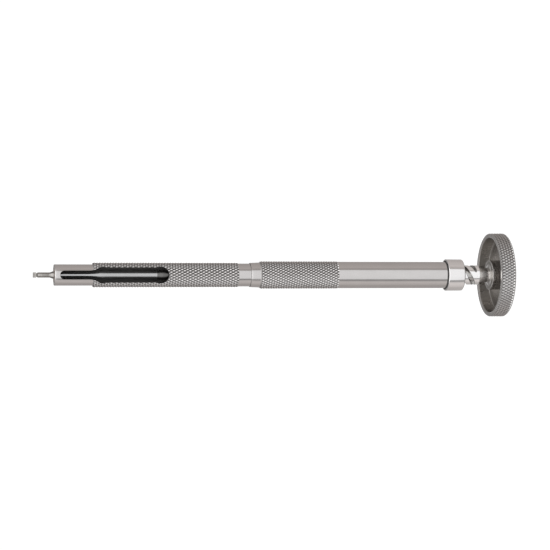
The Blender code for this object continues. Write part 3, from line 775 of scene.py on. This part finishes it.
def make_spindle(finish):
    """Spindle: plug, flange, shaft with the clip's groove, and the blade socket."""
    plug_r, shaft_r, groove_r, socket_r, bore_r, centre_r = 3.02, 1.9, 1.5, 2.45, 1.45, 0.2
    flange_low, flange_high = 49.55, 50.55
    groove_low, groove_high, socket_rear, bore_rear = 85.15, 85.65, 92.4, 93.9
    outline = [(centre_r, SPINDLE_REAR)]
    outline += rounded([
        (plug_r, SPINDLE_REAR, 1.0), (plug_r, flange_low), (SPINDLE_FLANGE_R, flange_low, 0.6),
        (SPINDLE_FLANGE_R, flange_high, 0.6), (shaft_r, flange_high), (shaft_r, groove_low),
        (groove_r, groove_low), (groove_r, groove_high), (shaft_r, groove_high),
        (shaft_r, socket_rear, 0.6), (socket_r, socket_rear + 0.55, 0.6),
        (socket_r, SOCKET_FRONT, 1.2), (bore_r, SOCKET_FRONT, 0.6), (bore_r, bore_rear),
        (centre_r, bore_rear),
    ], 0.2)
    verts, faces = skin_rings([ring(r, z, 96) for r, z in outline], False)
    spindle = new_piece("spindle_shaft", "spindle_group", finish["turned"],
                        verts, faces, 28.0)
    outward(spindle)
    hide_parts("spindle")


def make_spring(finish):
    """Return spring with closed ends, at one fixed length: the mesh doesn't shorten as the knob is
    pushed.
    """
    wire_r, sides, per_turn, turns, closed = 0.26, 10, 28, 11, 1.2
    coil_r = SPRING_OUTER_R - wire_r
    low, high = SPRING_REAR + wire_r, SPRING_FRONT - wire_r
    end_pitch = 2 * wire_r * 1.08          # the closed turns almost touch
    middle = (high - low - 2 * closed * end_pitch) / (turns - 2 * closed)

    def height(turn):
        if turn < closed:
            return low + end_pitch * turn
        if turn > turns - closed:
            return high - end_pitch * (turns - turn)
        return low + end_pitch * closed + middle * (turn - closed)

    slope = middle / (2 * math.pi * coil_r)
    rings = []
    for k in range(turns * per_turn + 1):
        angle = 2 * math.pi * k / per_turn
        out = Vector((math.cos(angle), math.sin(angle), 0))
        along = Vector((-math.sin(angle), math.cos(angle), slope)).normalized()
        across = along.cross(out)
        centre = out * coil_r + Vector((0, 0, height(k / per_turn)))
        rings.append([tuple(centre + wire_r * (out * math.cos(2 * math.pi * s / sides)
                                               + across * math.sin(2 * math.pi * s / sides)))
                      for s in range(sides)])
    verts, faces = skin_rings(rings, False)
    spring = new_piece("spring", "spindle_group", finish["spring"], verts, faces, 60.0)
    outward(spring)
    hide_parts("return_spring")
    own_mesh(spring)


def make_nose_bush(finish):
    """Guide bush in the nose."""
    low, high, outer = span("nose_bush")
    inner = 1.3
    outline = rounded([
        (inner, low, 0.6), (outer, low, 0.6), (outer, high, 0.8), (inner, high, 1.4),
    ], 0.15)
    verts, faces = skin_rings([ring(r, z, 72) for r, z in outline], True)
    bush = new_piece("nose_guide", "handle", finish["bronze"], verts, faces)
    outward(bush)
    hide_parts("nose_bush")


def paint_inner_nodes(finish):
    """Give each CAD node that stays its own finish."""
    finishes = {
        "drive_nut": "brass", "nut_key": "pin", "rear_bearing": "bronze", "thrust_washer": "bronze",
        "front_bush": "bronze", "drive_tube": "turned", "tube_pin": "pin", "rod_pin": "pin",
        "blade_set_screw": "screw", "spindle_clip": "spring", "spring_seat": "turned",
        "knob_screw": "screw",
    }
    for node, key in finishes.items():
        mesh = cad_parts[node].data
        mesh.materials.clear()
        mesh.materials.append(finish[key])


# ---------------------------------------------------------------- studio

def make_floor():
    """Large pale floor that curves up into a far wall; the metal does not mirror it.

    The profile is (radius, height) in metres.
    """
    sides, profile = 96, [(25.0, 0.0), (27.5, 0.6), (29.3, 2.2), (30.0, 5.0), (30.0, 40.0)]
    verts = [(0.0, 0.0, 0.0)]
    for radius, height in profile:
        verts += ring(radius, height, sides)
    faces = [(0, 1 + i, 1 + (i + 1) % sides) for i in range(sides)]
    for row in range(len(profile) - 1):
        low, high = 1 + row * sides, 1 + (row + 1) * sides
        for i in range(sides):
            j = (i + 1) % sides
            faces.append((low + i, low + j, high + j, high + i))
    mesh = bpy.data.meshes.new("floor")
    mesh.from_pydata(verts, [], faces)
    mesh.shade_smooth()
    floor = bpy.data.objects.new("floor", mesh)
    bpy.context.scene.collection.objects.link(floor)
    material, _, shader = node_graph("pale_floor", (0.16, 0.16, 0.16), 0.9, 0.0)
    shader.inputs["Specular IOR Level"].default_value = 0.0
    shader.inputs["Emission Color"].default_value = (1.0, 1.0, 1.0, 1.0)
    shader.inputs["Emission Strength"].default_value = 0.90
    mesh.materials.append(material)
    floor.visible_glossy = False


def ramp(tree, value, stops):
    """A colour ramp over the round of the studio; stops are (degrees, grey, warmth)."""
    node = tree.nodes.new("ShaderNodeValToRGB")
    node.color_ramp.interpolation = "EASE"
    elements = node.color_ramp.elements
    while len(elements) > 1:
        elements.remove(elements[-1])
    for k, (degrees, grey, warmth) in enumerate(stops):
        place = (degrees + 180.0) / 360.0
        item = elements[0] if k == 0 else elements.new(place)
        item.position = place
        item.color = (grey * (1 + 1.5 * warmth), grey, grey * (1 - 0.8 * warmth), 1.0)
    tree.links.new(value, node.inputs["Fac"])
    return node.outputs["Color"]


def make_studio():
    """Soft surroundings: softboxes at the front and back, warm grey walls, a pale ceiling.

    Each layer is (colour, start, end): it takes over between two heights of the direction.
    """
    world = bpy.data.worlds.new("studio")
    bpy.context.scene.world = world
    world.use_nodes = True
    tree = world.node_tree
    background = tree.nodes["Background"]
    place = tree.nodes.new("ShaderNodeTexCoord")
    split = tree.nodes.new("ShaderNodeSeparateXYZ")
    tree.links.new(place.outputs["Generated"], split.inputs["Vector"])
    minus = tree.nodes.new("ShaderNodeMath")
    minus.operation = "MULTIPLY"
    minus.inputs[1].default_value = -1.0
    tree.links.new(split.outputs["Y"], minus.inputs[0])
    round_angle = tree.nodes.new("ShaderNodeMath")
    round_angle.operation = "ARCTAN2"
    tree.links.new(split.outputs["X"], round_angle.inputs[0])
    tree.links.new(minus.outputs[0], round_angle.inputs[1])
    turn = remap(tree, round_angle.outputs[0], -math.pi, math.pi, 0.0, 1.0)
    low = ramp(tree, turn, [
        (-180, 0.85, 0.0), (-163, 0.82, 0.0), (-156, 0.44, 0.03), (-110, 0.46, 0.04),
        (-85, 0.60, 0.04), (-68, 0.66, 0.04), (-56, 0.60, 0.03), (-48, 0.33, 0.02),
        (-41, 0.36, 0.01), (-34, 0.94, 0.0), (0, 0.98, 0.0), (40, 0.97, 0.0), (47, 0.42, 0.04),
        (56, 0.45, 0.05), (68, 0.54, 0.05), (90, 0.50, 0.05), (130, 0.44, 0.05),
        (156, 0.44, 0.03), (163, 0.82, 0.0), (180, 0.85, 0.0),
    ])
    tall = ramp(tree, turn, [
        (-180, 0.26, 0.02), (-120, 0.26, 0.02), (-75, 0.36, 0.02), (-60, 1.1, 0.0), (-42, 2.3, 0.0),
        (42, 2.3, 0.0), (60, 1.1, 0.0), (75, 0.36, 0.02), (120, 0.26, 0.02), (180, 0.26, 0.02),
    ])
    ceiling, ground = (0.62, 0.61, 0.60, 1.0), (0.42, 0.41, 0.40, 1.0)
    colour = low
    for upper, start, end in ((tall, 0.06, 0.20), (ceiling, 0.42, 0.66), (ground, -0.50, -0.78)):
        blend = tree.nodes.new("ShaderNodeMix")
        blend.data_type = "RGBA"
        rise = remap(tree, split.outputs["Z"], start, end, 0.0, 1.0)
        tree.links.new(rise, blend.inputs["Factor"])
        tree.links.new(colour, blend.inputs["A"])
        if isinstance(upper, tuple):
            blend.inputs["B"].default_value = upper
        else:
            tree.links.new(upper, blend.inputs["B"])
        colour = blend.outputs["Result"]
    tree.links.new(colour, background.inputs["Color"])
    background.inputs["Strength"].default_value = 1.0


def make_lights():
    """One broad soft key lamp and a weaker fill; the metal does not mirror them."""
    lamps = (("key", (-0.5, -0.7, 1.1), 0.9, 9.0), ("fill", (0.9, 0.3, 0.9), 0.8, 4.0))
    for name, place, size, power in lamps:
        lamp = bpy.data.lights.new(name, "AREA")
        lamp.size = size
        lamp.energy = power
        piece = bpy.data.objects.new(name, lamp)
        piece.location = place
        piece.rotation_euler = (Vector((0, 0, 0.07)) - Vector(place)).to_track_quat("-Z", "Y").to_euler()
        piece.visible_glossy = False
        bpy.context.scene.collection.objects.link(piece)


def make_camera():
    """Long lens, a little above the tool's middle, rolled so that the blade points left."""
    distance, elevation, aim_z = 0.601, math.radians(11.75), 0.0717
    lens = bpy.data.cameras.new("camera")
    lens.sensor_width = 36.0
    lens.lens = 131.1
    camera = bpy.data.objects.new("camera", lens)
    back = Vector((0, -math.cos(elevation), math.sin(elevation)))
    up = Vector((1, 0, 0))
    right = up.cross(back)
    turn = Matrix((right, up, back)).transposed().to_4x4()
    camera.matrix_world = Matrix.Translation(Vector((0, 0, aim_z)) + back * distance) @ turn
    bpy.context.scene.collection.objects.link(camera)
    bpy.context.scene.camera = camera


def main():
    """Build the looks of every piece, then the studio round them."""
    finish = make_materials()
    make_sleeve(finish)
    make_handle(finish)
    make_cap(finish)
    make_knob(finish)
    make_rod(finish)
    make_bit(finish)
    make_spindle(finish)
    make_spring(finish)
    make_nose_bush(finish)
    paint_inner_nodes(finish)
    make_floor()
    make_studio()
    make_lights()
    make_camera()
    bpy.context.scene.view_settings.view_transform = "Standard"


main()
